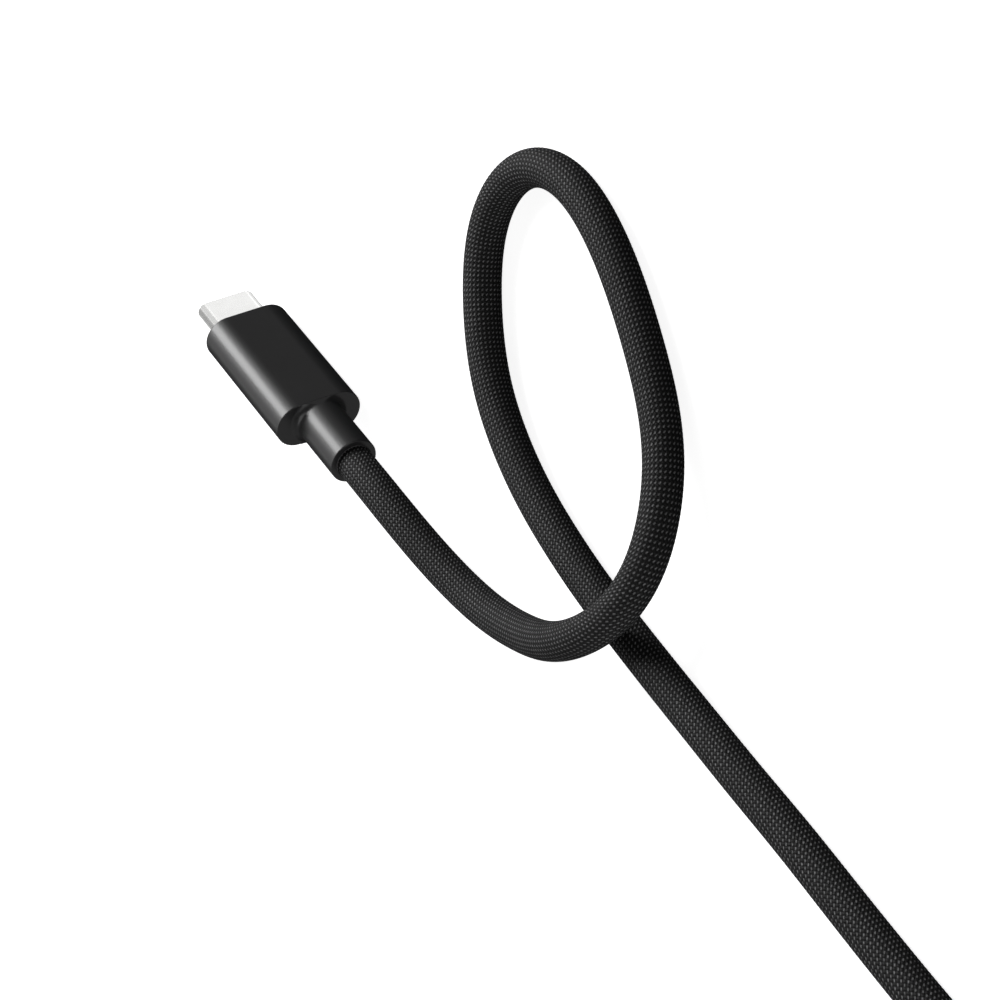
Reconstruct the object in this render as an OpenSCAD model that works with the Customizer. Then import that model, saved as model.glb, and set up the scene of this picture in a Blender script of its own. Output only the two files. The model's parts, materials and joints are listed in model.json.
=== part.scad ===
// A USB-C charging cable with a braided sleeve.
// The near plug leans on its rounded side, the cable makes one loop on the surface,
// and the rest is stored in a tied coil with the far plug beside it.
// +X is the way the near plug goes in, +Z is up, z = 0 is the surface.

/* [Plug housing] */
// Width across the housing's rounded sides
housing_w = 12.35; // [12.1:0.05:12.6]
// Thickness between the housing's flat faces
housing_t = 6.6; // [6.6:0.1:6.9]
// Length of the housing along the plug's axis
housing_len = 22; // [22:0.5:25]
// Radius of the housing's front and rear edges
housing_edge_r = 0.3; // [0.1:0.1:0.4]

/* [Plug shell] */
// Width of the metal shell, a standard size
shell_w = 8.34; // [8.3:0.01:8.36]
// Thickness of the metal shell, a standard size
shell_t = 2.56; // [2.54:0.01:2.58]
// Length of shell in front of the housing, a standard size
shell_out = 6.65; // [6.6:0.05:6.8]
// Thickness of the shell's metal
shell_wall = 0.2; // [0.16:0.01:0.22]

/* [Collar] */
// Diameter of the round strain relief behind the housing
collar_d = 6.6; // [6.2:0.1:6.6]
// Length of the strain relief behind the housing
collar_len = 10; // [8:0.5:12]
// Radius of the fillet between the strain relief and the housing
fillet_r = 1; // [0.6:0.1:1.8]

/* [Contacts] */
// Contacts in each of the two rows
contact_count = 12; // [4:2:12]
// Distance from one contact to the next, a standard size
contact_pitch = 0.5; // [0.5]
// Width of one contact
contact_w = 0.26; // [0.2:0.02:0.3]

/* [Cable] */
// Diameter over the braided sleeve
cable_d = 4.9; // [4.7:0.1:4.9]
// Diameter of the jacket under the sleeve
jacket_d = 4; // [3.8:0.1:4.1]

/* [Stored coil] */
// Diameter of the coil at the middle of its turns
coil_mid_d = 52; // [50:1:56]
// Where the cable meets the coil, along X
coil_x = -200; // [-220:5:-195]
// Length of cable between the coil and the far collar
tail_len = 32; // [32:1:40]

/* [Coil tie] */
// Angle of the coil that the tie covers
tie_angle = 22; // [15:1:30]
// Thickness of the tie
tie_t = 1; // [0.8:0.1:1.4]

/* [Resting pose] */
// Lean of the near plug's width from upright, in degrees
near_lean = 20; // [10:1:30]

/* [Hidden] */
$fn = 64;

gap = 0.02;             // clearance between fixed pieces of a plug
housing_wall = 0.95;    // side walls of the housing
rear_wall = 1.2;        // the housing's rear wall
front_wall = 1.2;       // the housing's front wall
cavity_w = housing_w - 2 * housing_wall;
cavity_t = housing_t - 2 * housing_wall;
cavity_end = housing_len - front_wall;
shell_tip = housing_len + shell_out;
shell_len = 13.65;
shell_rear = shell_tip - shell_len;
inner_w = shell_w - 2 * shell_wall;
inner_t = shell_t - 2 * shell_wall;

neck_r = 2.9;           // the strain relief where it passes the rear wall
fillet_edge = 0.1;      // thickness of the fillet where it ends
flange_w = 9;
flange_len = 1.2;
flange_end = rear_wall + flange_len;

jacket_end = flange_end + 4.1;      // where the jacket is cut back
ferrule_x = flange_end + 0.6;
ferrule_len = 3.2;
ferrule_wall = 0.23;
mould_end = jacket_end + 1.8;
can_x = mould_end + 0.1;
can_wall = 0.2;
can_len = cavity_end - 0.1 - can_x;
can_w = cavity_w - 0.35;
can_t = cavity_t - 0.3;

card_x = can_x + 0.2;
card_t = 0.8;
card_end = shell_rear + 2;
card_step = shell_rear - 0.4;       // the card narrows to enter the shell
card_w = 7.8;
card_nose_w = 6.4;

carrier_x = shell_rear + 0.4;
carrier_end = carrier_x + 5;
front_x = carrier_end + 0.1;
front_end = shell_tip - 1.05;
comb_end = front_x + 0.7;           // the slot for the tongue starts here
slot_w = 6.8;
slot_t = 1.24;

contact_low = 0.42;                 // a contact's face towards the tongue
contact_t = 0.12;
contact_slot_w = 6.1;
latch_x = shell_tip - 10.05;        // the latch springs' fixed ends
latch_in = 3.46;
latch_t = 0.16;
latch_h = 0.44;
latch_slot_in = slot_w / 2;

wire_r = 0.45;
wire_y = 1.05;
wire_z = card_t / 2 + wire_r + gap;
signal_r = 0.23;
signal_y = 0.26;
signal_z = card_t / 2 + signal_r + gap;
wire_cut = card_x + 0.9;            // where the insulation is stripped

near_x = -(shell_tip - collar_len) / 2;
near_z = (housing_w - housing_t) / 2 * cos(near_lean) + housing_t / 2;
exit_x = near_x - collar_len;
exit_lift = near_z - cable_d / 2;

// The cable's route on the surface: x, y and how far it is lifted off the surface.
route = [
    [exit_x, 0, exit_lift], [-26, 0, exit_lift], [-34, 1.3, 2.2], [-42, 2.3, 0.7],
    [-50.5, 1.8, 0], [-59, -1.6, 1.4], [-66.5, -6, 3.9], [-72.5, -11.5, 5.4],
    [-76.2, -18, 4.7], [-76, -25.5, 3.2], [-71.5, -33, 1.4], [-65.5, -38.2, 0.3],
    [-59, -42.5, 0], [-52, -46.8, 0], [-44.5, -50.3, 0], [-36.2, -52.2, 0],
    [-28.6, -50.4, 0], [-24.1, -44.7, 0], [-24.1, -37.2, 0], [-28.5, -29.5, 0],
    [-34.5, -23, 0], [-41.5, -19, 0], [-49.5, -16.1, 0], [-57.5, -14.5, 0],
    [-65.5, -13.4, 0], [-73.5, -12.9, 0], [-81.5, -12.5, 0], [-90, -12.2, 0],
    [-100, -11.8, 0], [-110, -11.7, 0], [-120, -11.1, 0], [-135, -10.5, 0],
    [-150, -10.5, 0], [-165, -10.5, 0], [-180, -10.5, 0], [coil_x, -10.5, 0]
];
coil_r = coil_mid_d / 2;
turn_r = coil_r + cable_d / 2;      // the outer turns' own radius
coil_y = -10.5 - turn_r;
tail_y = coil_y - turn_r;
far_lift = (housing_t - cable_d) / 2;
// The tail comes down from the coil's upper layer to the far collar: distance and lift.
tail_route = [
    [0, cable_d], [6, cable_d], [12, 4.5], [18, 3.2], [24, 1.6], [29, far_lift],
    [tail_len, far_lift]
];
far_x = coil_x + tail_len + collar_len;

tube_sides = 10;
steps_per_span = 2;

// ---- Placing ----

module at_near_plug() {
    translate([near_x, 0, near_z])
        rotate([90 - near_lean, 0, 0])
            children();
}

module at_far_plug() {
    translate([far_x, tail_y, housing_t / 2])
        children();
}

// ---- Shapes that repeat ----

module stadium(w, t) {
    square([w - t, t], center = true);
    for (side = [-1, 1])
        translate([side * (w - t) / 2, 0])
            circle(d = t);
}

module rounded_rect(a, b, r) {
    square([a - 2 * r, b], center = true);
    square([a, b - 2 * r], center = true);
    for (i = [-1, 1], j = [-1, 1])
        translate([i * (a / 2 - r), j * (b / 2 - r)])
            circle(r = r);
}

// A section in Y and Z, drawn out along X from x0 to x1
module along_x(x0, x1) {
    translate([x0, 0, 0])
        rotate([90, 0, 90])
            linear_extrude(x1 - x0)
                children();
}

module round_bar(x0, x1, r) {
    translate([x0, 0, 0])
        rotate([0, 90, 0])
            cylinder(r = r, h = x1 - x0);
}

module block(x0, x1, w, z0, z1) {
    translate([x0, -w / 2, z0])
        cube([x1 - x0, w, z1 - z0]);
}

// A stadium bar with rounded front and rear edges
module pill(w, t, len, r) {
    for (side = [-1, 1])
        translate([0, side * (w - t) / 2, 0])
            rotate([0, 90, 0])
                rotate_extrude()
                    intersection() {
                        translate([0, len / 2])
                            rounded_rect(t, len, r);
                        square([t, len]);
                    }
    translate([len / 2, (w - t) / 2, 0])
        rotate([90, 0, 0])
            linear_extrude(w - t)
                rounded_rect(len, t, r);
}

module above_and_below() {
    children();
    mirror([0, 0, 1])
        children();
}

module both_sides() {
    children();
    mirror([0, 1, 0])
        children();
}

// ---- One plug, with its axis along X and its housing's rear face at x = 0 ----

module shell() {
    color("silver")
        difference() {
            along_x(shell_rear, shell_tip)
                stadium(shell_w, shell_t);
            along_x(shell_rear - 1, shell_tip + 1)
                stadium(inner_w, inner_t);
        }
}

module front_housing() {
    color("dimgray")
        difference() {
            along_x(front_x, front_end)
                stadium(inner_w - 2 * gap, inner_t - 2 * gap);
            block(comb_end, front_end + 1, slot_w, -slot_t / 2, slot_t / 2);
            contact_slots(front_x - 1, comb_end + 0.1);
            latch_slots(front_x - 1, front_end - 0.6);
            above_and_below()
                block(comb_end + 0.8, front_end + 1, 5.8, slot_t / 2 + gap * 10, inner_t);
        }
}

module contact_slots(x0, x1) {
    above_and_below()
        block(x0, x1, contact_slot_w, contact_low - gap, contact_low + contact_t + gap);
}

module latch_slots(x0, x1) {
    both_sides()
        translate([x0, latch_slot_in, -0.35])
            cube([x1 - x0, 1, 0.7]);
}

module contact_row() {
    tail_x = carrier_x + 0.2;
    top = contact_low + contact_t;
    bow_x = shell_tip - 2.35;
    color("gold")
        for (i = [0 : contact_count - 1])
            translate([0, (i - (contact_count - 1) / 2) * contact_pitch + contact_w / 2, 0])
                rotate([90, 0, 0])
                    linear_extrude(contact_w)
                        polygon([
                            [tail_x, contact_low], [bow_x - 0.7, contact_low],
                            [bow_x, contact_low - 0.12], [bow_x + 0.3, contact_low - 0.12],
                            [bow_x + 0.9, contact_low + 0.02], [bow_x + 0.9, top + 0.02],
                            [bow_x + 0.2, top - 0.12], [bow_x + 0.1, top - 0.12],
                            [bow_x - 0.6, top], [tail_x, top]
                        ]);
}

module lower_contact_row() {
    mirror([0, 0, 1])
        contact_row();
}

module mid_plate() {
    color("silver")
        block(card_end + 0.1, carrier_end - 0.05, 6, -0.075, 0.075);
}

module left_latch() {
    hook_x = shell_tip - 3.15;
    out = latch_in + latch_t;
    color("gainsboro")
        translate([0, 0, -latch_h / 2])
            linear_extrude(latch_h)
                polygon([
                    [latch_x, latch_in], [hook_x, latch_in], [hook_x + 0.4, latch_in - 0.26],
                    [hook_x + 0.7, latch_in - 0.26], [hook_x + 1.2, latch_in],
                    [hook_x + 1.2, out], [latch_x, out]
                ]);
}

module right_latch() {
    mirror([0, 1, 0])
        left_latch();
}

module ground_spring() {
    plate_z = slot_t / 2 + 0.22;
    plate_t = 0.1;
    color("silver") {
        block(comb_end + 0.9, front_end - 0.15, 5.6, plate_z, plate_z + plate_t);
        for (i = [-1.5 : 1 : 1.5])
            translate([0, i * 1.4, 0]) {
                block(front_end - 0.3, shell_tip - 0.4, 0.9, plate_z, plate_z + plate_t);
                block(shell_tip - 0.5, shell_tip - 0.4, 0.9, plate_z - 0.22, plate_z + plate_t);
            }
    }
}

module lower_ground_spring() {
    mirror([0, 0, 1])
        ground_spring();
}

module contact_carrier() {
    color("darkslategray")
        difference() {
            along_x(carrier_x, carrier_end)
                stadium(inner_w - 2 * gap, inner_t - 2 * gap);
            contact_slots(carrier_x - 1, carrier_end + 1);
            block(carrier_x - 1, card_end + 0.05, card_nose_w + 0.1,
                  -contact_low + gap / 2, contact_low - gap / 2);
            block(card_end, carrier_end + 1, contact_slot_w, -0.1, 0.1);
            latch_slots(latch_x - 0.4, carrier_end + 1);
        }
}

module paddle_card() {
    color("seagreen") {
        block(card_x, card_step, card_w, -card_t / 2, card_t / 2);
        block(card_step - 0.5, card_end, card_nose_w, -card_t / 2, card_t / 2);
    }
}

module id_chip() {
    color("black")
        block(card_x + 3.1, card_x + 5.1, 2, card_t / 2 + gap, card_t / 2 + 0.62);
}

module chip_part(x, y) {
    translate([0, y, 0])
        block(x, x + 1, 0.5, card_t / 2 + gap, card_t / 2 + 0.5);
}

module chip_parts() {
    color("tan") {
        for (y = [-3.1, -2.1, 2.1, 3.1])
            chip_part(card_x + 3.6, y);
        mirror([0, 0, 1])
            for (y = [-2.4, 0, 2.4])
                chip_part(card_x + 3.6, y);
    }
}

module shield_can() {
    color("lightgray")
        difference() {
            along_x(can_x, can_x + can_len)
                stadium(can_w, can_t);
            along_x(can_x + can_wall, can_x + can_len - can_wall)
                stadium(can_w - 2 * can_wall, can_t - 2 * can_wall);
            along_x(can_x + can_len - 1, can_x + can_len + 1)
                stadium(shell_w + 2 * gap, shell_t + 2 * gap);
            round_bar(can_x - 1, can_x + 1, jacket_d / 2 + 0.05);
            block(can_x - 1, can_x + can_len + 1, can_w + 1, -can_t, gap);
        }
}

module lower_shield_can() {
    mirror([0, 0, 1])
        shield_can();
}

module crimp_ferrule() {
    outer = jacket_d / 2 + gap + ferrule_wall;
    color("darkgoldenrod")
        difference() {
            round_bar(ferrule_x, ferrule_x + ferrule_len, outer);
            round_bar(ferrule_x - 1, ferrule_x + ferrule_len + 1, jacket_d / 2 + gap);
            for (x = [1, 2])
                translate([ferrule_x + x * ferrule_len / 3, 0, 0])
                    rotate([0, 90, 0])
                        rotate_extrude()
                            translate([outer, 0])
                                circle(r = 0.12, $fn = 24);
        }
}

module inner_mould() {
    color("ivory")
        difference() {
            along_x(flange_end + gap, mould_end)
                stadium(cavity_w - 0.1, cavity_t - 0.1);
            round_bar(flange_end - 1, jacket_end, jacket_d / 2 + ferrule_wall + 2 * gap);
            round_bar(jacket_end - 0.1, mould_end + 1, jacket_d / 2 + gap);
        }
}

module housing() {
    color("#26272a")
        difference() {
            pill(housing_w, housing_t, housing_len, housing_edge_r);
            along_x(rear_wall, cavity_end)
                stadium(cavity_w, cavity_t);
            round_bar(-1, rear_wall + 1, neck_r + gap);
            along_x(cavity_end - 1, housing_len + 1)
                stadium(shell_w + 2 * gap, shell_t + 2 * gap);
        }
}

module strain_relief() {
    rim_r = 0.15;
    collar_r = collar_d / 2;
    color("#26272a")
        difference() {
            union() {
                rotate([0, 90, 0])
                    rotate_extrude() {
                        translate([0, rim_r - collar_len])
                            square([collar_r, collar_len - rim_r]);
                        translate([0, -collar_len])
                            square([collar_r - rim_r, collar_len]);
                        translate([collar_r - rim_r, rim_r - collar_len])
                            circle(r = rim_r);
                        square([neck_r, flange_end - 0.1]);
                    }
                collar_fillet();
                along_x(rear_wall + gap, flange_end)
                    stadium(flange_w, cavity_t - 2 * gap);
            }
            round_bar(-collar_len - 1, rear_wall, cable_d / 2 + gap / 2);
            round_bar(-collar_len - 1, flange_end + 1, jacket_d / 2 + gap);
            above_and_below()
                block(rear_wall + gap, flange_end + 1, cavity_w, cavity_t / 2 - gap, housing_t);
        }
}

// The fillet spreads sideways only, because the collar is as thick as the housing
module collar_fillet() {
    collar_r = collar_d / 2;
    outer = collar_r + fillet_r;
    intersection() {
        rotate([0, 90, 0])
            rotate_extrude()
                translate([0, -fillet_r - fillet_edge])
                    difference() {
                        square([outer, fillet_r + fillet_edge]);
                        translate([outer, 0])
                            circle(r = fillet_r);
                    }
        block(-fillet_r - fillet_edge, 0, 2 * outer, -collar_r, collar_r);
    }
}

module wire(r, y, z, pad_w) {
    translate([0, y, z])
        round_bar(jacket_end + gap, wire_cut, r);
    translate([0, y, 0])
        block(wire_cut - 0.2, wire_cut + 1.3, pad_w, card_t / 2 + gap, z);
}

module power_wires() {
    color("firebrick")
        both_sides()
            wire(wire_r, wire_y, wire_z, 0.6);
}

module ground_wires() {
    color("#303030")
        both_sides()
            mirror([0, 0, 1])
                wire(wire_r, wire_y, wire_z, 0.6);
}

module signal_wires() {
    color("white")
        above_and_below()
            both_sides()
                wire(signal_r, signal_y, signal_z, 0.3);
}

module cable_end() {
    color("#1b1c1e") {
        round_bar(-collar_len, rear_wall, cable_d / 2);
        round_bar(rear_wall - 0.1, jacket_end, jacket_d / 2);
    }
}

// ---- The free cable ----

function unit(v) = v / norm(v);

// A uniform cubic B-spline over the control points, which starts at the first and ends at the last
function with_ends(p) =
    let (n = len(p))
    concat([2 * p[0] - p[1]], p, [2 * p[n - 1] - p[n - 2]]);
function spline_point(q, i, t) =
    (pow(1 - t, 3) * q[i]
     + (3 * pow(t, 3) - 6 * pow(t, 2) + 4) * q[i + 1]
     + (-3 * pow(t, 3) + 3 * pow(t, 2) + 3 * t + 1) * q[i + 2]
     + pow(t, 3) * q[i + 3]) / 6;
function spline(p, steps) =
    let (q = with_ends(p), spans = len(p) - 1)
    [for (i = [0 : spans - 1], k = [0 : steps - (i < spans - 1 ? 1 : 0)])
        spline_point(q, i, k / steps)];

// Both ends of a tube are square to the X axis
function direction(line, i) =
    let (v = unit(line[min(i + 1, len(line) - 1)] - line[max(i - 1, 0)]))
    i > 0 && i < len(line) - 1 ? v : [sign(v[0]), 0, 0];
function ring(centre, along, r) =
    let (side = unit(cross([0, 0, 1], along)), up = cross(along, side))
    [for (k = [0 : tube_sides - 1])
        let (a = 360 * k / tube_sides)
        centre + r * (cos(a) * side + sin(a) * up)];

module tube(line, r) {
    n = len(line);
    s = tube_sides;
    points = [for (i = [0 : n - 1]) each ring(line[i], direction(line, i), r)];
    walls = [
        for (i = [0 : n - 2], k = [0 : s - 1])
            let (a = i * s + k, b = i * s + (k + 1) % s)
            each [[a, b + s, b], [a, a + s, b + s]]
    ];
    start = [[for (k = [0 : s - 1]) k]];
    end = [[for (k = [s - 1 : -1 : 0]) (n - 1) * s + k]];
    polyhedron(points, concat(walls, start, end), convexity = 8);
}

module cable() {
    line = [for (p = route) [p[0], p[1], cable_d / 2 + p[2]]];
    color("#1b1c1e")
        tube(spline(line, steps_per_span), cable_d / 2);
}

module cable_tail() {
    line = [for (p = tail_route) [coil_x + p[0], tail_y, cable_d / 2 + p[1]]];
    color("#1b1c1e")
        tube(spline(line, steps_per_span), cable_d / 2);
}

// The coil's turns lie two wide and two high
module cable_coil() {
    color("#1b1c1e")
        translate([coil_x, coil_y, 0])
            difference() {
                rotate_extrude()
                    translate([coil_r, cable_d])
                        rounded_rect(2 * cable_d, 2 * cable_d, cable_d / 2);
                tie_band();
            }
}

module tie_band() {
    centre_z = cable_d + tie_t;
    rotate([0, 0, 180 - tie_angle / 2])
        rotate_extrude(angle = tie_angle)
            translate([coil_r, centre_z])
                difference() {
                    rounded_rect(2 * (cable_d + tie_t), 2 * (cable_d + tie_t), cable_d / 2 + tie_t);
                    rounded_rect(2 * cable_d, 2 * cable_d, cable_d / 2);
                }
}

module coil_tie() {
    color("#303236")
        translate([coil_x, coil_y, 0])
            tie_band();
}

at_near_plug() shell();  // near_shell
at_near_plug() front_housing();  // near_front_housing
at_near_plug() contact_row();  // near_upper_contacts
at_near_plug() lower_contact_row();  // near_lower_contacts
at_near_plug() mid_plate();  // near_mid_plate
at_near_plug() left_latch();  // near_left_latch
at_near_plug() right_latch();  // near_right_latch
at_near_plug() ground_spring();  // near_upper_ground_spring
at_near_plug() lower_ground_spring();  // near_lower_ground_spring
at_near_plug() contact_carrier();  // near_contact_carrier
at_near_plug() paddle_card();  // near_paddle_card
at_near_plug() id_chip();  // near_id_chip
at_near_plug() chip_parts();  // near_chip_parts
at_near_plug() shield_can();  // near_upper_shield_can
at_near_plug() lower_shield_can();  // near_lower_shield_can
at_near_plug() crimp_ferrule();  // near_crimp_ferrule
at_near_plug() inner_mould();  // near_inner_mould
at_near_plug() housing();  // near_housing
at_near_plug() strain_relief();  // near_strain_relief
at_near_plug() power_wires();  // near_power_wires
at_near_plug() ground_wires();  // near_ground_wires
at_near_plug() signal_wires();  // near_signal_wires
at_near_plug() cable_end();  // near_cable_end
at_far_plug() shell();  // far_shell
at_far_plug() front_housing();  // far_front_housing
at_far_plug() contact_row();  // far_upper_contacts
at_far_plug() lower_contact_row();  // far_lower_contacts
at_far_plug() mid_plate();  // far_mid_plate
at_far_plug() left_latch();  // far_left_latch
at_far_plug() right_latch();  // far_right_latch
at_far_plug() ground_spring();  // far_upper_ground_spring
at_far_plug() lower_ground_spring();  // far_lower_ground_spring
at_far_plug() contact_carrier();  // far_contact_carrier
at_far_plug() paddle_card();  // far_paddle_card
at_far_plug() id_chip();  // far_id_chip
at_far_plug() chip_parts();  // far_chip_parts
at_far_plug() shield_can();  // far_upper_shield_can
at_far_plug() lower_shield_can();  // far_lower_shield_can
at_far_plug() crimp_ferrule();  // far_crimp_ferrule
at_far_plug() inner_mould();  // far_inner_mould
at_far_plug() housing();  // far_housing
at_far_plug() strain_relief();  // far_strain_relief
at_far_plug() power_wires();  // far_power_wires
at_far_plug() ground_wires();  // far_ground_wires
at_far_plug() signal_wires();  // far_signal_wires
at_far_plug() cable_end();  // far_cable_end
cable();
cable_coil();
cable_tail();
coil_tie();
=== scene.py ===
"""Looks of a braided charging cable: a reversible plug at each end, one open loop and a tied coil."""

import json
import math

import bpy
import numpy as np
from mathutils import Matrix, Vector


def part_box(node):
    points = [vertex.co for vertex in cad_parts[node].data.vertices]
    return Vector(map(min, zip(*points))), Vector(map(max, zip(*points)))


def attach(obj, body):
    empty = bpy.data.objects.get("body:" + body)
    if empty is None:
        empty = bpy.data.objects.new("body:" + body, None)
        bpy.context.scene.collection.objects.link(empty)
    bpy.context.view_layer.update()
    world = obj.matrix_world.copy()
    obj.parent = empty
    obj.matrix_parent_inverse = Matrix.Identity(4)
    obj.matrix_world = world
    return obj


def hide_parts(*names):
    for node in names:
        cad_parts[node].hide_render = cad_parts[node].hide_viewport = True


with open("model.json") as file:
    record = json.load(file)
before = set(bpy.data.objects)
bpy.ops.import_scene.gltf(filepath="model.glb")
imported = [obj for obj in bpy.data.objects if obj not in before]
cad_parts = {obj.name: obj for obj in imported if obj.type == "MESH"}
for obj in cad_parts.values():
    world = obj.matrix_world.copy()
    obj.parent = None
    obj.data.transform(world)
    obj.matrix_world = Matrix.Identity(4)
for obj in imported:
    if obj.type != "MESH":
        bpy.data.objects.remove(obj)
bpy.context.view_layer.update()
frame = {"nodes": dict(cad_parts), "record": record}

MM = 0.001

# ---- Sizes, in millimetres, as in the CAD ----

CABLE_D = 4.9
COLLAR_LEN = 10
NEAR_LEAN = math.radians(20)
COIL_X = -200
COIL_MID_R = 26
COIL_TURNS = 3.5
COIL_START = 90  # degrees round the coil where the cable comes in
COIL_SIDE = -10.5  # y of the straight cable where it meets the coil
TIE_AT = 180  # degrees round the coil
TIE_ANGLE = math.radians(22)
TIE_T = 1


def box_mm(node):
    """Lowest and highest corner of a CAD node, in millimetres."""
    low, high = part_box(node)
    return np.array(low) / MM, np.array(high) / MM


far_housing_low, far_housing_high = box_mm("far_housing")
HOUSING_LEN, HOUSING_W, HOUSING_T = far_housing_high - far_housing_low
far_shell_low, far_shell_high = box_mm("far_shell")
SHELL_LEN, SHELL_W, SHELL_T = far_shell_high - far_shell_low
SHELL_REAR = far_shell_low[0] - far_housing_low[0]
near_housing_low, near_housing_high = box_mm("near_housing")

cable_r = CABLE_D / 2
turn_r = COIL_MID_R + cable_r
coil_y = COIL_SIDE - turn_r
tail_y = coil_y - turn_r
exit_x = near_housing_low[0] - COLLAR_LEN
exit_lift = (near_housing_low[2] + near_housing_high[2]) / 2 - cable_r
far_lift = (HOUSING_T - CABLE_D) / 2


# ---- Camera ----

VIEW_TARGET = Vector((-0.0420, -0.0095, 0.0))
VIEW_DISTANCE = 0.3683
VIEW_AZIMUTH = math.radians(-143.58)
VIEW_ELEVATION = math.radians(35.89)
VIEW_ROLL = math.radians(-92.3)
LENS = 105.86
SENSOR = 36
CLIP_NEAR = 0.01
CLIP_FAR = 20


def make_camera():
    """The camera looks down on the loop from behind the near plug, rolled on its side."""
    flat = math.cos(VIEW_ELEVATION)
    back = Vector((flat * math.cos(VIEW_AZIMUTH), flat * math.sin(VIEW_AZIMUTH), math.sin(VIEW_ELEVATION)))
    level = Vector((0, 0, 1)).cross(back).normalized()
    upright = back.cross(level)
    right = math.cos(VIEW_ROLL) * level + math.sin(VIEW_ROLL) * upright
    up = back.cross(right)
    data = bpy.data.cameras.new("camera")
    data.lens = LENS
    data.sensor_width = SENSOR
    data.clip_start = CLIP_NEAR
    data.clip_end = CLIP_FAR
    camera = bpy.data.objects.new("camera", data)
    bpy.context.scene.collection.objects.link(camera)
    place = Matrix((right, up, back)).transposed().to_4x4()
    place.translation = VIEW_TARGET + back * VIEW_DISTANCE
    camera.matrix_world = place
    bpy.context.scene.camera = camera


make_camera()


# ---- Mesh helpers ----


def make_mesh(name, points, faces, sharp_deg=40):
    """A smooth-shaded object whose edges sharper than sharp_deg stay sharp. Points are in metres."""
    mesh = bpy.data.meshes.new(name)
    mesh.from_pydata([tuple(p) for p in points], [], faces)
    mesh.polygons.foreach_set("use_smooth", [True] * len(mesh.polygons))
    mesh.set_sharp_from_angle(angle=math.radians(sharp_deg))
    mesh.update()
    piece = bpy.data.objects.new(name, mesh)
    bpy.context.scene.collection.objects.link(piece)
    return piece


def ring_faces(rings, sides, closed):
    """Quads between rings of points; closed joins the last ring to the first."""
    last = rings if closed else rings - 1
    faces = []
    for i in range(last):
        a, b = i * sides, (i + 1) % rings * sides
        for k in range(sides):
            n = (k + 1) % sides
            faces.append((a + k, b + k, b + n, a + n))
    return faces


def smooth_step(t):
    """0 to 1 with no corners."""
    t = np.clip(t, 0, 1)
    return t * t * (3 - 2 * t)


# ---- The cord's route, in millimetres ----

# x, y and how far the cable is lifted off the surface
ROUTE = [
    (exit_x, 0, exit_lift), (-26, 0, exit_lift), (-34, 1.3, 2.2), (-42, 2.3, 0.7),
    (-50.5, 1.8, 0), (-59, -1.6, 1.4), (-66.5, -6, 3.9), (-72.5, -11.5, 5.4),
    (-76.2, -18, 4.7), (-76, -25.5, 3.2), (-71.5, -33, 1.4), (-65.5, -38.2, 0.3),
    (-59, -42.5, 0), (-52, -46.8, 0), (-44.5, -50.3, 0), (-36.2, -52.2, 0),
    (-28.6, -50.4, 0), (-24.1, -44.7, 0), (-24.1, -37.2, 0), (-28.5, -29.5, 0),
    (-34.5, -23, 0), (-41.5, -19, 0), (-49.5, -16.1, 0), (-57.5, -14.5, 0),
    (-65.5, -13.4, 0), (-73.5, -12.9, 0), (-81.5, -12.5, 0), (-90, -12.2, 0),
    (-100, -11.8, 0), (-110, -11.7, 0), (-120, -11.1, 0), (-135, -10.5, 0),
    (-150, -10.5, 0), (-165, -10.5, 0), (-180, -10.5, 0), (COIL_X, -10.5, 0),
]
# Distance from the coil and lift, on the way down to the far collar
TAIL_ROUTE = [
    (0, CABLE_D), (6, CABLE_D), (12, 4.5), (18, 3.2), (24, 1.6), (29, far_lift), (32, far_lift),
]
VIEW_END = 270  # length of cable in front of the camera, from the collar

# Degrees round the coil: where the turns start inwards, upwards and outwards, and how long that takes
LANE_CHANGES = (300, 600, 900)
LANE_CHANGE = 60
TIE_RAMP_START = 60  # on each side of the tie, the turns climb onto it from here
TIE_RAMP = 45
COIL_STEP = 3


def spline(points, steps=24):
    """The CAD's uniform cubic B-spline, which starts at the first point and ends at the last."""
    p = np.array(points, float)
    q = np.vstack([2 * p[0] - p[1], p, 2 * p[-1] - p[-2]])
    t = np.linspace(0, 1, steps, endpoint=False)[:, None]
    spans = [
        ((1 - t) ** 3 * q[i] + (3 * t**3 - 6 * t**2 + 4) * q[i + 1]
         + (-3 * t**3 + 3 * t**2 + 3 * t + 1) * q[i + 2] + t**3 * q[i + 3]) / 6
        for i in range(len(p) - 1)
    ]
    return np.vstack([*spans, p[-1]])


def coil_line():
    """The coil's turns. They lie two wide and two high: outer, inner, inner above it, outer above."""
    travelled = np.arange(0, 360 * COIL_TURNS + COIL_STEP / 2, COIL_STEP)
    inwards, upper, outwards = (smooth_step((travelled - at) / LANE_CHANGE) for at in LANE_CHANGES)
    radius = turn_r - CABLE_D * (inwards - outwards)
    angle = np.radians(COIL_START + travelled)
    off_tie = np.abs((COIL_START + travelled) % 360 - TIE_AT)
    on_tie = smooth_step((TIE_RAMP_START - off_tie) / TIE_RAMP)
    return np.stack([
        COIL_X + radius * np.cos(angle),
        coil_y + radius * np.sin(angle),
        cable_r + CABLE_D * upper + TIE_T * on_tie,
    ], axis=1)


def lifted(points):
    """Points with their lift turned into the height of the cable's middle."""
    return [(x, y, cable_r + lift) for x, y, lift in points]


def cord_line():
    """The middle of the cable from the near collar to the far collar, with its distance along it."""
    to_coil = spline(lifted(ROUTE))
    tail = spline(lifted([(COIL_X + along, tail_y, lift) for along, lift in TAIL_ROUTE]))
    line = np.vstack([to_coil, coil_line()[1:-1], tail])
    return line, np.r_[0, np.cumsum(np.linalg.norm(np.diff(line, axis=0), axis=1))]


# ---- The cord's braid ----

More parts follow.
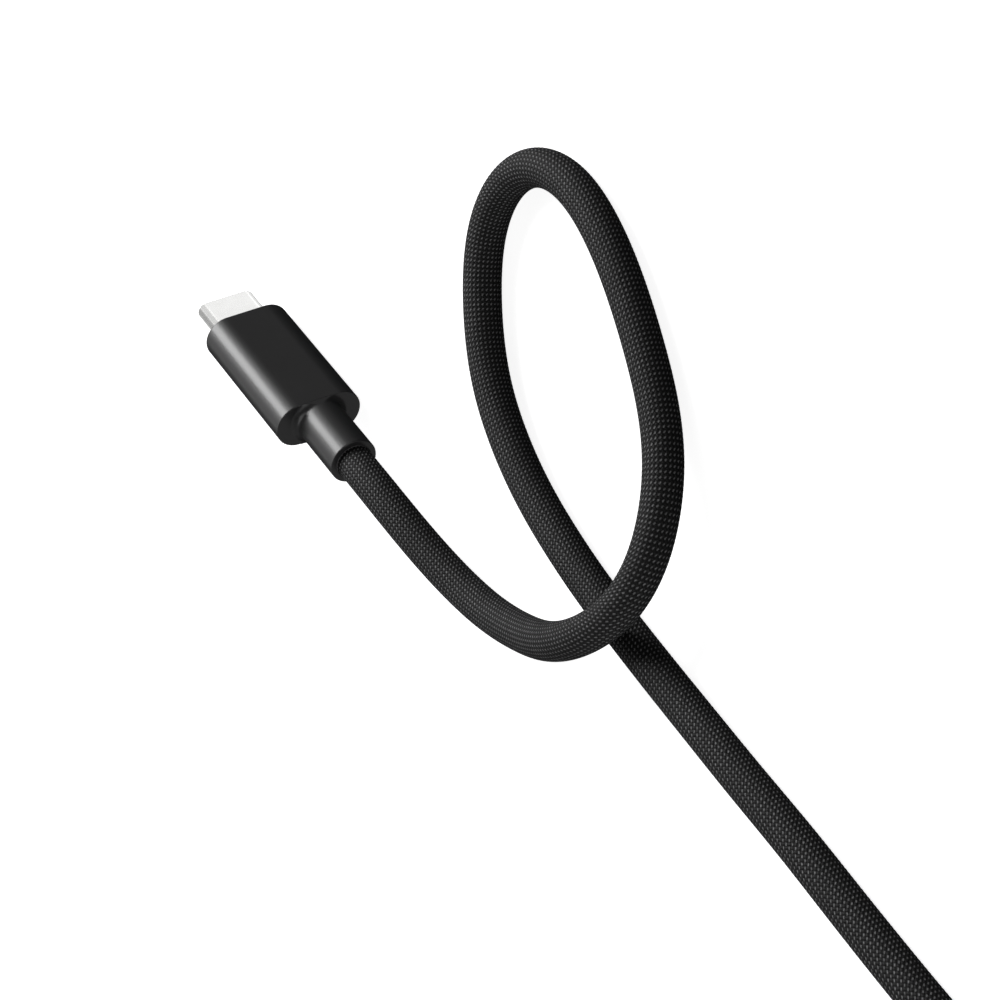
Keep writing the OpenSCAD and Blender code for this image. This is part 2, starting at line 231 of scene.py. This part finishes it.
PICK = 0.63  # length of one repeat of the braid
COLUMNS = 28  # repeats round the cable
RELIEF = 0.03  # depth of the gaps between the yarns
HIDDEN_STEP = 4  # rings are this much further apart outside the view
CROWN_SHARE = 0.6  # how much of a yarn's height is its round back; the rest is its dive
YARN_EDGE = 14  # how sharply the upper yarn takes over from the lower
FIBRES = 9
# Shape of the painted highlight on the crown of each grey float: how narrow it is across the yarn and how
# blunt along it
HIGHLIGHT_NARROWING = 4
HIGHLIGHT_BLUNTNESS = 0.6


def turned_frames(line):
    """Two directions across the line at each point, which don't twist about it."""
    along = np.gradient(line, axis=0)
    along /= np.linalg.norm(along, axis=1)[:, None]
    side = np.cross((0, 0, 1), along[0])
    sides = []
    for direction in along:
        side = side - direction * (side @ direction)
        side = side / np.linalg.norm(side)
        sides.append(side)
    sides = np.array(sides)
    return sides, np.cross(along, sides)


def make_cord():
    """One tube whose points lie on the tops of the yarns and in the gaps between them."""
    line, distance = cord_line()
    half = PICK / 2
    seen = int(VIEW_END / half) // HIDDEN_STEP * HIDDEN_STEP
    total = int(distance[-1] / half)
    index = np.r_[np.arange(seen), np.arange(seen, total, HIDDEN_STEP), distance[-1] / half]
    centres = np.stack([np.interp(index * half, distance, line[:, k]) for k in range(3)], axis=1)
    across, upward = turned_frames(centres)
    sides = 2 * COLUMNS
    turn = 2 * np.pi * np.arange(sides) / sides
    gap = (index[:, None].astype(int) + np.arange(sides)) % 2
    gap = gap * ((index > 0) & (index < seen))[:, None]
    radius = (cable_r - RELIEF * gap)[..., None]
    out = np.cos(turn)[None, :, None] * across[:, None] + np.sin(turn)[None, :, None] * upward[:, None]
    points = (centres[:, None] + radius * out).reshape(-1, 3) * MM
    rings = len(index)
    faces = ring_faces(rings, sides, closed=False)
    caps = [tuple(range(sides)), tuple(range(rings * sides - 1, (rings - 1) * sides - 1, -1))]
    cord = make_mesh("braided_cable", points, faces + caps, sharp_deg=60)
    cord.data.flip_normals()
    map_braid(cord.data, index, sides)
    return cord, centres * MM, distance[-1] * MM


def map_braid(mesh, index, sides):
    """A UV map in repeats of the braid: along the cable and round it."""
    layer = mesh.uv_layers.new(name="braid")
    uv = np.zeros((len(mesh.loops), 2))
    corner = np.zeros(len(mesh.loops), int)
    mesh.loops.foreach_get("vertex_index", corner)
    ring, side = corner // sides, corner % sides
    uv[:, 0] = index[ring] / 2
    uv[:, 1] = side / 2
    quads = (len(index) - 1) * sides * 4
    wraps = uv[:quads].reshape(-1, 4, 2)
    at_seam = wraps[:, :, 1].max(axis=1) - wraps[:, :, 1].min(axis=1) > 1
    wraps[at_seam, :, 1] += np.where(wraps[at_seam, :, 1] == 0, COLUMNS, 0)
    layer.data.foreach_set("uv", uv.ravel())


# ---- Material helpers ----


class Nodes:
    """A short way to write a material's nodes."""

    def __init__(self, name):
        self.material = bpy.data.materials.new(name)
        self.material.use_nodes = True
        self.tree = self.material.node_tree
        self.shader = self.tree.nodes["Principled BSDF"]

    def add(self, kind, inputs=None, **settings):
        node = self.tree.nodes.new("ShaderNode" + kind)
        for key, value in settings.items():
            setattr(node, key, value)
        for key, value in (inputs or {}).items():
            self.put(node.inputs[key], value)
        return node

    def put(self, socket, value):
        if isinstance(value, bpy.types.NodeSocket):
            self.tree.links.new(value, socket)
        else:
            socket.default_value = value

    def math(self, operation, *values, clamp=False):
        node = self.add("Math", dict(enumerate(values)), operation=operation, use_clamp=clamp)
        return node.outputs[0]

    def place(self):
        return self.add("TexCoord").outputs["Object"]

    def noise(self, where, scale, detail=2.0, roughness=0.5):
        inputs = {"Vector": where, "Scale": scale, "Detail": detail, "Roughness": roughness}
        return self.add("TexNoise", inputs).outputs["Fac"]

    def stretch(self, where, scale):
        return self.add("Mapping", {"Vector": where, "Scale": scale}).outputs[0]

    def between(self, factor, low, high):
        """A number that runs from low to high as factor runs from 0 to 1."""
        inputs = {"Value": factor, "To Min": low, "To Max": high}
        return self.add("MapRange", inputs).outputs[0]

    def mix(self, factor, first, second):
        """A colour between two colours, each a socket or red, green and blue."""
        node = self.add("Mix", {0: factor}, data_type="RGBA")
        for slot, colour in ((6, first), (7, second)):
            linked = isinstance(colour, bpy.types.NodeSocket)
            self.put(node.inputs[slot], colour if linked else (*colour, 1))
        return node.outputs[2]

    def bump(self, height, depth_mm):
        inputs = {"Height": height, "Distance": depth_mm * MM, "Strength": 1.0}
        return self.add("Bump", inputs).outputs[0]

    def finish(self, **inputs):
        """Sets the shader's sockets, named with _ for a space, and gives the material."""
        for key, value in inputs.items():
            if isinstance(value, tuple) and len(value) == 3:
                value = (*value, 1)
            self.put(self.shader.inputs[key.replace("_", " ")], value)
        return self.material


# ---- Materials ----


def braid_material():
    """A diamond braid: grey yarns turn one way over black yarns that turn the other way. The grey yarns'
    colour carries a painted highlight at each crown, and the gaps between the yarns carry painted shade.
    """
    m = Nodes("braided_sleeve")
    uv = m.add("SeparateXYZ", {0: m.add("UVMap", uv_map="braid").outputs[0]})
    along, round_it = uv.outputs[0], uv.outputs[1]

    def yarn(offset, progress, sign):
        """Height and grain of the yarns at whole numbers of offset, which dive once per repeat."""
        number = m.math("ROUND", offset)
        across = m.math("SUBTRACT", offset, number)
        crown = m.math("COSINE", m.math("MULTIPLY", across, math.pi))
        phase = m.math("MULTIPLY", m.math("ADD", progress, number), math.pi)
        wave = m.math("MULTIPLY", m.math("COSINE", phase), sign)
        back, dive = m.math("MULTIPLY", crown, CROWN_SHARE), m.math("MULTIPLY", wave, 1 - CROWN_SHARE)
        height = m.math("ADD", back, dive)
        fibres = m.add("CombineXYZ", {0: m.math("MULTIPLY", offset, FIBRES), 1: progress})
        return height, m.noise(fibres.outputs[0], 1.0, detail=3), number, crown, wave

    with_turn = m.math("SUBTRACT", along, round_it)
    against_turn = m.math("ADD", along, round_it)
    grey_height, grey_grain, grey_number, grey_crown, grey_wave = yarn(with_turn, against_turn, 1)
    black_height, black_grain, _, _, _ = yarn(against_turn, with_turn, -1)
    on_top = m.math("MULTIPLY", m.math("SUBTRACT", grey_height, black_height), YARN_EDGE, clamp=True)
    height = m.math("MAXIMUM", grey_height, black_height)
    # Painted highlight: the grey yarn's colour runs from near black where it dives to bright at the crown
    # of each float
    highlight_width = m.math("POWER", m.math("MAXIMUM", grey_crown, 0), HIGHLIGHT_NARROWING)
    highlight_length = m.math("POWER", m.math("MAXIMUM", grey_wave, 0), HIGHLIGHT_BLUNTNESS)
    crown_highlight = m.math("MULTIPLY", highlight_width, highlight_length)
    yarn_number = m.math("FLOORED_MODULO", grey_number, COLUMNS)
    own = m.add("TexWhiteNoise", {"W": yarn_number}, noise_dimensions="1D").outputs["Value"]
    shade = m.math("MULTIPLY", m.between(own, 0.75, 1.2), m.between(grey_grain, 0.6, 1.35))
    grey = m.math("MULTIPLY", shade, m.between(crown_highlight, 0.008, 0.27))
    black = m.between(black_grain, 0.006, 0.02)
    level = m.add("Mix", {0: on_top, 2: black, 3: grey}, data_type="FLOAT").outputs[0]
    # Painted shade: the colour darkens towards the low gaps between the yarns
    gap_shade = m.between(height, 0.35, 1.0)
    level = m.math("MULTIPLY", level, gap_shade)
    colour = m.add("CombineColor", {0: level, 1: level, 2: m.math("MULTIPLY", level, 1.02)})
    fuzz = m.noise(m.place(), 5200, detail=4)
    relief = m.math("ADD", height, m.math("MULTIPLY", fuzz, 0.25))
    return m.finish(
        Base_Color=colour.outputs[0],
        Roughness=m.between(grey_grain, 0.5, 0.75),
        Specular_IOR_Level=0.25,
        Sheen_Weight=0.03,
        Sheen_Roughness=0.4,
        Normal=m.bump(relief, 0.09),
    )


def dark_plastic():
    """Fine satin plastic with a spark-eroded surface and faint rubbed patches."""
    m = Nodes("dark_plastic")
    place = m.place()
    rubbed = m.noise(place, 160, detail=4, roughness=0.6)
    grain = m.noise(place, 9000, detail=3)
    pits = m.add("TexVoronoi", {"Vector": place, "Scale": 6000}).outputs["Distance"]
    height = m.math("ADD", grain, m.math("MULTIPLY", pits, 0.4))
    return m.finish(
        Base_Color=m.mix(rubbed, (0.025, 0.025, 0.0255), (0.031, 0.031, 0.0315)),
        Roughness=m.math("ADD", m.between(rubbed, 0.36, 0.40), m.between(grain, -0.02, 0.02)),
        Specular_IOR_Level=0.5,
        Coat_Weight=0.35,
        Coat_Roughness=0.22,
        Normal=m.bump(height, 0.0007),
    )


def metal(name, colour, tint, roughness, depth=0.0012):
    """Plated metal with drawing marks along the plug and soft stains."""
    m = Nodes(name)
    place = m.place()
    marks = m.noise(m.stretch(place, (60, 900, 900)), 8.0, detail=5, roughness=0.65)
    stains = m.noise(place, 420, detail=3)
    return m.finish(
        Base_Color=m.mix(stains, colour, tint),
        Metallic=1.0,
        Roughness=m.math("ADD", m.between(marks, roughness * 0.8, roughness * 1.25),
                         m.between(stains, -0.03, 0.03)),
        Normal=m.bump(marks, depth),
    )


def moulded(name, dark, light, roughness, scale=2500):
    """A moulded plastic with flow marks and a fine grain."""
    m = Nodes(name)
    place = m.place()
    flow = m.noise(m.stretch(place, (300, 700, 700)), 1.0, detail=4, roughness=0.6)
    grain = m.noise(place, scale, detail=3)
    return m.finish(
        Base_Color=m.mix(flow, dark, light),
        Roughness=m.between(grain, roughness * 0.85, roughness * 1.15),
        Normal=m.bump(grain, 0.004),
    )


def circuit_board():
    """Solder mask over copper tracks that run along the board."""
    m = Nodes("circuit_board")
    place = m.place()
    tracks = m.add(
        "TexBrick",
        {"Vector": place, "Scale": 600.0, "Mortar Size": 0.14, "Brick Width": 3.0, "Row Height": 0.5},
        offset=0.35,
    ).outputs["Fac"]
    weave = m.noise(place, 4000, detail=2)
    mask = m.mix(weave, (0.008, 0.07, 0.03), (0.012, 0.095, 0.04))
    return m.finish(
        Base_Color=m.mix(tracks, mask, (0.03, 0.16, 0.06)),
        Roughness=m.between(weave, 0.22, 0.34),
        Normal=m.bump(m.math("ADD", tracks, m.math("MULTIPLY", weave, 0.2)), 0.02),
    )


def ceramic():
    """Small ceramic parts with tinned ends."""
    m = Nodes("chip_ceramic")
    place = m.place()
    ends = m.add("TexWave", {"Vector": place, "Scale": 320.0}, bands_direction="X").outputs["Fac"]
    tinned = m.math("GREATER_THAN", ends, 0.78)
    grain = m.noise(place, 5000, detail=3)
    body = m.mix(grain, (0.22, 0.14, 0.07), (0.34, 0.23, 0.13))
    return m.finish(
        Base_Color=m.mix(tinned, body, (0.6, 0.6, 0.6)),
        Metallic=tinned,
        Roughness=m.between(grain, 0.3, 0.5),
        Normal=m.bump(grain, 0.004),
    )


def milky_mould():
    """Soft, milky polyethylene."""
    m = Nodes("clear_mould")
    place = m.place()
    clouds = m.noise(place, 350, detail=4, roughness=0.6)
    grain = m.noise(place, 3000, detail=2)
    return m.finish(
        Base_Color=m.mix(clouds, (0.62, 0.60, 0.52), (0.78, 0.76, 0.70)),
        Roughness=m.between(grain, 0.38, 0.52),
        Subsurface_Weight=0.15,
        Subsurface_Scale=0.001,
        Normal=m.bump(grain, 0.01),
    )


def insulation(name, dark, light):
    """Extruded wire insulation with faint rings from the die."""
    m = Nodes(name)
    place = m.place()
    rings = m.noise(m.stretch(place, (4000, 150, 150)), 1.0, detail=2)
    patches = m.noise(place, 900, detail=3)
    return m.finish(
        Base_Color=m.mix(patches, dark, light),
        Roughness=m.between(rings, 0.28, 0.42),
        Normal=m.bump(rings, 0.006),
    )


def tie_fabric():
    """Napped hook-and-loop tape: rows of loops and loose fibres."""
    m = Nodes("tie_fabric")
    place = m.place()
    loops = m.add("TexVoronoi", {"Vector": m.stretch(place, (2200, 1500, 1800)), "Scale": 1.0})
    fibres = m.noise(place, 6500, detail=5, roughness=0.7)
    worn = m.noise(place, 260, detail=3)
    height = m.math("SUBTRACT", fibres, loops.outputs["Distance"])
    tone = m.mix(fibres, (0.012, 0.013, 0.015), (0.045, 0.047, 0.052))
    return m.finish(
        Base_Color=m.mix(m.math("MULTIPLY", worn, 0.4), tone, (0.06, 0.062, 0.068)),
        Roughness=m.between(fibres, 0.75, 0.95),
        Sheen_Weight=0.3,
        Sheen_Roughness=0.5,
        Normal=m.bump(height, 0.12),
    )


MATERIALS = {
    "nickel_shell": metal("nickel_shell", (0.80, 0.80, 0.79), (0.72, 0.72, 0.71), 0.26),
    "gold_contact": metal("gold_contact", (0.90, 0.68, 0.30), (0.80, 0.56, 0.22), 0.2),
    "spring_steel": metal("spring_steel", (0.60, 0.60, 0.59), (0.50, 0.50, 0.50), 0.3),
    "tinned_steel": metal("tinned_steel", (0.66, 0.67, 0.68), (0.54, 0.55, 0.56), 0.42, depth=0.003),
    "ferrule_brass": metal("ferrule_brass", (0.72, 0.53, 0.24), (0.60, 0.42, 0.17), 0.34, depth=0.003),
    "insulator": moulded("insulator", (0.010, 0.010, 0.011), (0.022, 0.022, 0.024), 0.5),
    "chip_black": moulded("chip_black", (0.012, 0.012, 0.013), (0.030, 0.030, 0.032), 0.6, scale=6000),
    "circuit_board": circuit_board(),
    "chip_ceramic": ceramic(),
    "clear_mould": milky_mould(),
    "dark_plastic": dark_plastic(),
    "red_insulation": insulation("red_insulation", (0.30, 0.012, 0.010), (0.42, 0.025, 0.018)),
    "black_insulation": insulation("black_insulation", (0.010, 0.010, 0.010), (0.025, 0.025, 0.026)),
    "white_insulation": insulation("white_insulation", (0.55, 0.55, 0.52), (0.72, 0.72, 0.69)),
    "braided_sleeve": braid_material(),
    "tie_fabric": tie_fabric(),
}


def paint_nodes():
    """Gives every CAD node the material of its slot in the record."""
    for part in frame["record"]["subparts"]:
        slots = frame["nodes"][part["node"]].data.materials
        slots.clear()
        slots.append(MATERIALS[part["material_slot"]])


paint_nodes()


# ---- Pieces of a plug, with its axis along X and the housing's rear face at x = 0 ----

SIDES = 160
GAP = 0.02  # between pieces that touch
HEM = 0.04  # flat strip beside a rounding, which keeps its shading off the next face
HOUSING_WALL = 0.95
END_WALL = 1.2
EDGE_R = 0.3
REAR_EDGE_R = 0.12  # crisper than the CAD's
LIP_R = 0.1
NECK_R = 2.9
FLANGE_W = 9
FLANGE_LEN = 1.2
JACKET_D = 4
FILLET_R = 1.0
FILLET_EDGE = 0.02  # thickness of the fillet's rim against the housing
RIM_R = 0.15
SHELL_WALL = 0.2
SHELL_RIM_R = 0.08


def stadium(w, t):
    """Points on a bar with round ends, w wide and t thick, one in each direction from its middle."""
    turn = 2 * np.pi * np.arange(SIDES) / SIDES
    c, s = np.cos(turn), np.sin(turn)
    middle, r = (w - t) / 2, t / 2
    on_end = np.abs(c) * middle + np.sqrt(np.maximum(r * r - (middle * s) ** 2, 0))
    on_flat = r / np.maximum(np.abs(s), 1e-9)
    reach = np.where(on_flat * np.abs(c) < middle, on_flat, on_end)
    return np.stack([reach * c, reach * s], axis=1)


def rounded(start, end, steps=6):
    """Sections (x, w, t) on a quarter turn that leaves start along x and meets end square to it."""
    turn = np.linspace(0, math.pi / 2, steps + 1)
    start, end = np.array(start, float), np.array(end, float)
    x = start[0] + (end[0] - start[0]) * np.sin(turn)
    wt = end[1:] + (start[1:] - end[1:]) * np.cos(turn)[:, None]
    return [(a, *b) for a, b in zip(x, wt)]


def loft(name, sections, place, flat_t=None):
    """A closed ring of stadium sections (x, w, t). flat_t cuts each off at that thickness."""
    points = []
    for x, w, t in sections:
        outline = stadium(w, t)
        if flat_t is not None:
            outline *= np.minimum(1, flat_t / 2 / np.maximum(np.abs(outline[:, 1:]), 1e-9))
        points.extend(place @ Vector((x * MM, y * MM, z * MM)) for y, z in outline)
    return make_mesh(name, points, ring_faces(len(sections), SIDES, closed=True), sharp_deg=20)


def housing_sections():
    """Round the outside from the rear, in through the mouth, and back through the cavity."""
    w, t, length, r, rear_r = HOUSING_W, HOUSING_T, HOUSING_LEN, EDGE_R, REAR_EDGE_R
    inner_w, inner_t = w - 2 * r, t - 2 * r
    rear_w, rear_t = w - 2 * rear_r, t - 2 * rear_r
    mouth_w, mouth_t = SHELL_W + 2 * GAP, SHELL_T + 2 * GAP
    cavity_w, cavity_t = w - 2 * HOUSING_WALL, t - 2 * HOUSING_WALL
    neck = 2 * (NECK_R + GAP)
    front = length - END_WALL
    return [
        (0, neck, neck),
        (0, rear_w - HEM, rear_t - HEM),
        *reversed(rounded((rear_r, w, t), (0, rear_w, rear_t))),
        (rear_r + HEM, w, t),
        (length - r - HEM, w, t),
        *rounded((length - r, w, t), (length, inner_w, inner_t)),
        (length, inner_w - HEM, inner_t - HEM),
        (length, mouth_w + 2 * LIP_R + HEM, mouth_t + 2 * LIP_R + HEM),
        *reversed(rounded((length - LIP_R, mouth_w, mouth_t),
                          (length, mouth_w + 2 * LIP_R, mouth_t + 2 * LIP_R))),
        (front, mouth_w, mouth_t),
        (front, cavity_w, cavity_t),
        (END_WALL, cavity_w, cavity_t),
        (END_WALL, neck, neck),
    ]


def relief_sections():
    """Along the bore, out over the flange, and back over the collar to its end."""
    bore, jacket = CABLE_D + GAP, JACKET_D + 2 * GAP
    flange_end = END_WALL + FLANGE_LEN
    flange_t = HOUSING_T - 2 * HOUSING_WALL - 2 * GAP
    neck, collar = 2 * NECK_R, HOUSING_T
    spread = collar + 2 * FILLET_R
    rim, bore_rim = collar - 2 * RIM_R, bore + 2 * LIP_R
    end = -COLLAR_LEN
    return [
        (end + LIP_R, bore, bore),
        (END_WALL, bore, bore),
        (END_WALL, jacket, jacket),
        (flange_end, jacket, jacket),
        (flange_end, FLANGE_W, flange_t),
        (END_WALL + GAP, FLANGE_W, flange_t),
        (END_WALL + GAP, neck, neck),
        (0, neck, neck),
        (0, spread, spread),
        *hollow_fillet(-FILLET_EDGE, spread, collar),
        (-FILLET_R - FILLET_EDGE - HEM, collar, collar),
        (end + RIM_R + HEM, collar, collar),
        *rounded((end + RIM_R, collar, collar), (end, rim, rim), 8),
        (end, rim - HEM, rim - HEM),
        (end, bore_rim + HEM, bore_rim + HEM),
        (end, bore_rim, bore_rim),
    ]


def hollow_fillet(x, wide, narrow, steps=10):
    """Round sections of the fillet that runs from wide, at x, in to narrow along the collar."""
    turn = np.linspace(math.pi / 2, 0, steps + 1)
    r = (wide - narrow) / 2
    widths = wide - 2 * r * np.cos(turn)
    return list(zip(x - r + r * np.sin(turn), widths, widths))


def shell_sections():
    """The outside from the rear, over the rounded rim, and back along the inside."""
    w, t, rear, tip, r = SHELL_W, SHELL_T, SHELL_REAR, SHELL_REAR + SHELL_LEN, SHELL_RIM_R
    inner_w, inner_t = w - 2 * SHELL_WALL, t - 2 * SHELL_WALL
    return [
        (rear, w, t),
        (tip - r - HEM, w, t),
        *rounded((tip - r, w, t), (tip, w - 2 * r, t - 2 * r)),
        *reversed(rounded((tip - r, inner_w, inner_t), (tip, inner_w + 2 * r, inner_t + 2 * r))),
        (tip - r - HEM, inner_w, inner_t),
        (rear, inner_w, inner_t),
    ]


def make_plug(side, place):
    """The three skins of a plug, each in place of its CAD node."""
    skins = {
        "housing": (housing_sections(), None, "dark_plastic"),
        "strain_relief": (relief_sections(), HOUSING_T, "dark_plastic"),
        "shell": (shell_sections(), None, "nickel_shell"),
    }
    made = []
    for part, (sections, flat_t, slot) in skins.items():
        piece = loft(f"{side}_{part}_skin", sections, place, flat_t)
        piece.data.materials.append(MATERIALS[slot])
        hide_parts(f"{side}_{part}")
        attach(piece, "plug")
        made.append(piece)
    return made


def axis_point(low, high):
    """The middle of a housing's rear face, in metres."""
    return Vector((low[0], (low[1] + high[1]) / 2, (low[2] + high[2]) / 2)) * MM


near_place = Matrix.Translation(axis_point(near_housing_low, near_housing_high)) @ Matrix.Rotation(
    math.pi / 2 - NEAR_LEAN, 4, "X"
)
far_place = Matrix.Translation(axis_point(far_housing_low, far_housing_high))
make_plug("near", near_place)
far_skins = make_plug("far", far_place)


# ---- The coil's tie ----

TIE_OVERLAP = 7
TIE_RISE = 4  # length over which the strap climbs onto itself
TIE_ACROSS = 13  # points across each face
TIE_STEPS = 120
TIE_CORNER_STEPS = 9
TIE_SQUARENESS = 8  # how late the strap thins towards its long edges
TIP_WIDTH = 0.6  # at the strap's end, of its full width, which it has TIP_TAPER further back
TIP_TAPER = 2
TIP_THICKNESS = 0.3  # at the strap's end, of its full thickness
TIP_SLOPE = 1.5  # length over which a whole thickness would be gained


def tie_girth():
    """Round the bundle of turns from the foot of its outer side: out, up and the outward normal."""
    flat = CABLE_D - cable_r
    stations = []
    corners = [(1, 1), (-1, 1), (-1, -1), (1, -1)]
    for number, (i, j) in enumerate(corners):
        for a in np.linspace(0, math.pi / 2, TIE_CORNER_STEPS) + number * math.pi / 2:
            c, s = math.cos(a), math.sin(a)
            stations.append((i * flat + cable_r * c, j * flat + cable_r * s, c, s))
    return np.array([(flat + cable_r, -flat, 1, 0), *stations])


def tie_sections():
    """The strap's line round the bundle with its lift where it overlaps, and how far is left."""
    girth = tie_girth()
    steps = np.r_[0, np.cumsum(np.linalg.norm(np.diff(girth[:, :2], axis=0), axis=1))]
    round_it = steps[-1]
    reach = np.linspace(0, round_it + TIE_OVERLAP, TIE_STEPS)
    line = np.stack([np.interp(reach % round_it, steps, girth[:, k]) for k in range(4)], axis=1)
    line[:, 2:] /= np.linalg.norm(line[:, 2:], axis=1)[:, None]
    lift = TIE_T * smooth_step((reach - round_it + TIE_RISE) / TIE_RISE)
    return line, lift, reach[-1] - reach


def make_tie():
    """A strap that goes once round the turns and overlaps on the coil's outer side."""
    across = np.linspace(-1, 1, TIE_ACROSS)
    thickness = TIE_T * (1 - across**TIE_SQUARENESS)
    points = []
    for (x, z, nx, nz), lift, left in zip(*tie_sections()):
        blunt = min(1, TIP_WIDTH + (1 - TIP_WIDTH) * left / TIP_TAPER)
        thin = min(1, TIP_THICKNESS + left / TIP_SLOPE)
        for face, order in ((0.5, across), (-0.5, across[::-1])):
            for a in order:
                edge = np.interp(a, across, thickness) * thin
                out = lift + TIE_T / 2 + face * edge
                angle = math.pi + a * blunt * TIE_ANGLE / 2
                radius = COIL_MID_R + x + nx * out
                points.append((
                    (COIL_X + radius * math.cos(angle)) * MM,
                    (coil_y + radius * math.sin(angle)) * MM,
                    (CABLE_D + TIE_T + z + nz * out) * MM,
                ))
    sides = 2 * TIE_ACROSS
    faces = ring_faces(TIE_STEPS, sides, closed=False)
    faces += [tuple(range(sides)), tuple(range(TIE_STEPS * sides - 1, (TIE_STEPS - 1) * sides - 1, -1))]
    tie = make_mesh("coil_tie_strap", points, faces, sharp_deg=50)
    tie.data.materials.append(MATERIALS["tie_fabric"])
    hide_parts("coil_tie")
    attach(tie, "plug")
    return tie


tie_strap = make_tie()


# ---- The cord ----


def declare_cord():
    """Builds the cable, gives it the braid and fixes it to the plug in place of the CAD's cable nodes."""
    cord, path, length = make_cord()
    cord.data.materials.append(MATERIALS["braided_sleeve"])
    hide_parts("cable", "cable_coil", "cable_tail")
    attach(cord, "plug")


declare_cord()


# ---- Floor, lights and surroundings ----

FLOOR_HALF = 4.0
LIGHT_DISTANCE = 1.0
SHELL_SKINS = ("near_shell_skin", "far_shell_skin")
PLASTIC_SKINS = (
    "near_housing_skin", "near_strain_relief_skin", "far_housing_skin", "far_strain_relief_skin",
)
SURROUND_LIGHT = 0.015
BACKDROP = 1.0
FLOOR_GLOW = 0.88

# Each light: name, direction it shines from, width and height in metres, and brightness
SOFTBOXES = [
    ("key", (0.766, -0.21, 0.608), 0.40, 0.60, 8.2),
    ("key_glow", (0.766, -0.24, 0.596), 1.05, 0.70, 0.66),
    ("key_halo", (0.766, 0.10, 0.635), 2.1, 0.80, 0.50),
    ("key_low", (0.74, -0.50, 0.32), 0.60, 0.60, 0.10),
]
CABLE_SOFTBOXES = [
    ("cable_back", (-0.707, 0.683, 0.25), 0.60, 0.50, 3.6),
    ("cable_front", (-0.707, -0.641, 0.299), 0.60, 0.40, 1.6),
]
PLASTIC_SOFTBOXES = [
    ("plastic_side", (0.05, -1.0, 0.02), 2.2, 0.60, 0.10),
    ("plastic_rear", (-0.85, -0.35, 0.10), 1.2, 0.90, 1.00),
    ("plastic_left", (-0.12, 0.88, 0.36), 1.7, 0.90, 0.20),
    ("plastic_under", (-0.71, 0.56, -0.40), 1.1, 1.20, 0.24),
    ("plastic_over", (0.15, 0.22, 0.95), 1.0, 0.80, 1.3),
]
SHELL_SOFTBOXES = [
    ("shell_side", (0.70, -0.709, -0.087), 0.90, 0.74, 1.15),
    ("shell_top", (0.70, -0.41, 0.585), 0.95, 0.90, 0.85),
    ("shell_back", (0.70, 0.478, 0.53), 1.10, 1.00, 0.47),
    ("shell_under_back", (0.70, 0.683, -0.209), 0.90, 0.57, 0.80),
    ("shell_under", (0.70, -0.335, -0.63), 0.90, 0.70, 0.95),
    ("shell_over", (-0.35, 0.0, 0.94), 1.30, 1.30, 0.70),
    ("shell_left", (-0.75, 0.60, 0.25), 1.20, 0.90, 0.60),
    ("shell_right", (-0.75, -0.60, 0.25), 1.20, 0.90, 0.75),
]


def make_floor():
    """A plain pale floor. It shows shadows but neither shades nor lights the part."""
    corners = [(-1, -1), (1, -1), (1, 1), (-1, 1)]
    floor = make_mesh("floor", [(x * FLOOR_HALF, y * FLOOR_HALF, 0) for x, y in corners], [(0, 1, 2, 3)])
    m = Nodes("floor")
    floor.data.materials.append(m.finish(
        Base_Color=(0.85, 0.85, 0.85),
        Roughness=0.9,
        Specular_IOR_Level=0.0,
        Emission_Color=(1.0, 1.0, 1.0),
        Emission_Strength=FLOOR_GLOW,
    ))
    floor.visible_diffuse = False
    floor.visible_glossy = False
    floor.visible_shadow = False


def softbox(name, towards, width, height, brightness):
    """A rectangular light LIGHT_DISTANCE away in the direction towards."""
    data = bpy.data.lights.new(name, "AREA")
    data.shape = "RECTANGLE"
    data.size, data.size_y = width, height
    data.energy = brightness * math.pi * width * height
    light = bpy.data.objects.new(name, data)
    bpy.context.scene.collection.objects.link(light)
    direction = Vector(towards).normalized()
    light.rotation_mode = "QUATERNION"
    light.rotation_quaternion = direction.to_track_quat("Z", "Y")
    light.location = VIEW_TARGET + direction * LIGHT_DISTANCE
    return light


def limit(light, names, state):
    """Makes a light shine on the named pieces only (INCLUDE) or on all but them (EXCLUDE)."""
    receivers = bpy.data.collections.new(light.name + "_receivers")
    for name in names:
        receivers.objects.link(bpy.data.objects[name])
    for entry in receivers.collection_objects:
        entry.light_linking.link_state = state
    light.light_linking.receiver_collection = receivers


def make_world():
    """Dim surroundings for the part, with a pale backdrop behind it for the camera."""
    world = bpy.data.worlds.new("studio")
    bpy.context.scene.world = world
    world.use_nodes = True
    tree = world.node_tree
    background = tree.nodes["Background"]
    rays = tree.nodes.new("ShaderNodeLightPath")
    shade = tree.nodes.new("ShaderNodeMix")
    shade.inputs[2].default_value = SURROUND_LIGHT
    shade.inputs[3].default_value = BACKDROP
    tree.links.new(rays.outputs["Is Camera Ray"], shade.inputs[0])
    background.inputs["Color"].default_value = (1, 1, 1, 1)
    tree.links.new(shade.outputs[0], background.inputs["Strength"])


def light_scene():
    """A key light for all but the mirror-bright shells, and fills for each kind of surface."""
    for box in SOFTBOXES:
        limit(softbox(*box), SHELL_SKINS, "EXCLUDE")
    for box in CABLE_SOFTBOXES:
        limit(softbox(*box), SHELL_SKINS + PLASTIC_SKINS, "EXCLUDE")
    for box in PLASTIC_SOFTBOXES:
        limit(softbox(*box), PLASTIC_SKINS, "INCLUDE")
    for box in SHELL_SOFTBOXES:
        limit(softbox(*box), SHELL_SKINS, "INCLUDE")
    bpy.context.scene.view_settings.view_transform = "Standard"


make_floor()
make_world()
light_scene()
